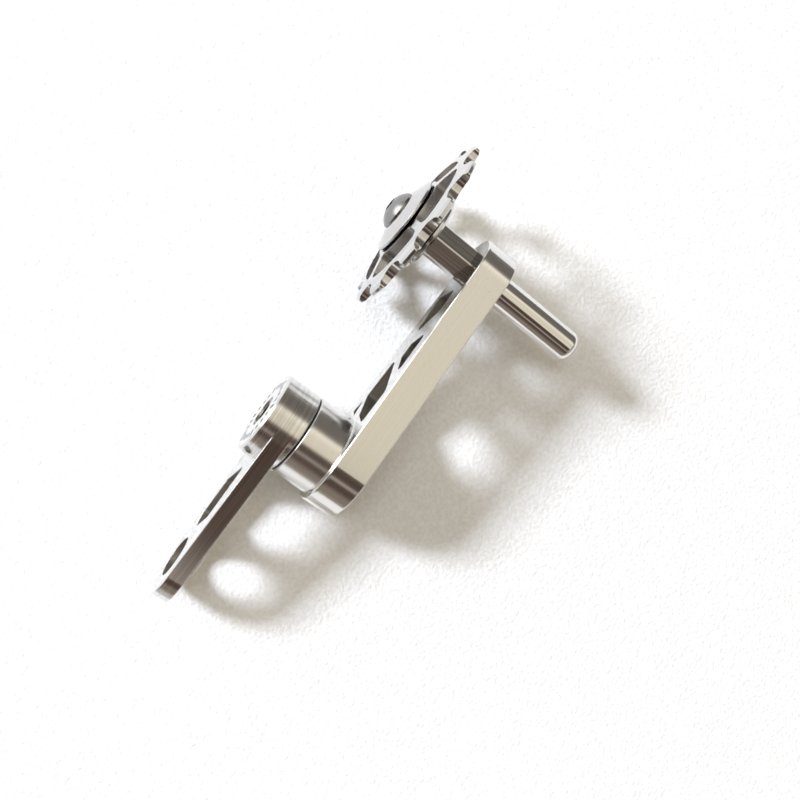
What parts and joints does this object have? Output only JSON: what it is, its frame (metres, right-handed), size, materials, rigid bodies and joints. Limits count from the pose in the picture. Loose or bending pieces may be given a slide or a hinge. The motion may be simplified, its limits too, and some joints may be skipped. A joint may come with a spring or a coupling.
{
  "type": "bicycle chain tensioner",
  "caption": "Sprung two-arm bicycle chain tensioner: a hanger plate, a round torsion-spring pivot, a windowed swing arm, and a toothed pulley on a spacer opposite a guide post.",
  "frame": {"origin": "axis of the hanger bore, on the face of the plate that lies against the hanger", "axes": "+X along both arms from the hanger bore to the pulley, +Y along the bore towards the pulley side, +Z across the arms"},
  "size_m": [0.1282, 0.0577, 0.0443],
  "materials": {
    "machined_aluminium": "bright, finely milled and polished, clear anodised",
    "wheel_aluminium": "bright machined pulley and caps",
    "ground_steel": "ground and polished stainless steel",
    "bolt_steel": "dark stainless fastener",
    "spring_steel": "oiled music wire",
    "bearing_steel": "ground bearing steel",
    "bush_bronze": "sintered bronze",
    "dark_polymer": "black low-friction polymer"
  },
  "bodies": {
    "mount_arm": {"mount_arm": "machined_aluminium", "hanger_pin": "ground_steel", "pivot_axle": "ground_steel", "pivot_washer": "ground_steel", "pivot_screw": "bolt_steel", "seam_washer": "dark_polymer", "stop_pin": "ground_steel", "torsion_spring": "spring_steel"},
    "swing_arm": {"swing_arm": "machined_aluminium", "upper_bush": "bush_bronze", "lower_bush": "bush_bronze", "hex_spacer": "ground_steel", "guide_post": "ground_steel", "wheel_bolt": "bolt_steel", "front_dust_cap": "wheel_aluminium", "rear_dust_cap": "wheel_aluminium", "bearing_inner_ring": "bearing_steel"},
    "jockey_wheel": {"jockey_wheel": "wheel_aluminium", "bearing_outer_ring": "bearing_steel", "bearing_balls": "bearing_steel", "bearing_cage": "dark_polymer", "front_shield": "dark_polymer", "rear_shield": "dark_polymer"}
  },
  "joints": [
    {"name": "arm_pivot", "type": "hinge", "parent": "mount_arm", "child": "swing_arm", "pos_m": [0.0402, -0.00165, 0], "axis": [0, -1, 0], "range_deg": [0, 100], "stiffness_Nm_per_rad": 0.35, "springref_deg": -68.75, "deforming": ["torsion_spring"]},
    {"name": "wheel_spin", "type": "hinge", "parent": "swing_arm", "child": "jockey_wheel", "pos_m": [0.0964, 0.0048, 0], "axis": [0, 1, 0], "continuous": true}
  ]
}
